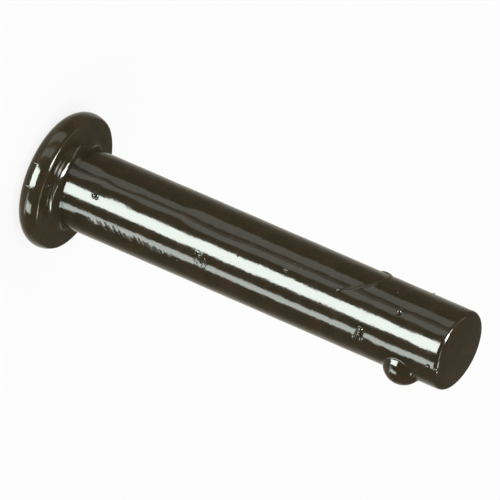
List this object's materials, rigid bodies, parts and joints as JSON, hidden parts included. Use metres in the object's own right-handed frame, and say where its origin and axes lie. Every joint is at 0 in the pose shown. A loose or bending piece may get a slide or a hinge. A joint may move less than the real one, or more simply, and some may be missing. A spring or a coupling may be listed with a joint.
{
  "type": "headed whip pin",
  "caption": "Headed pin with a disc head, a plain round shank and one fixed round nub near its tip, all under a thick glossy black coat.",
  "frame": {"origin": "middle of the flat top of the head, which the pin stands on", "axes": "+Z along the shank from the head to the tip, +X to the side of the nub"},
  "size_m": [0.0222, 0.0222, 0.0738],
  "materials": {
    "black_coat": "thick glossy dipped coat, brown-black, with a few pimples and runs"
  },
  "bodies": {
    "root": {"headed_pin": "black_coat"}
  },
  "joints": []
}
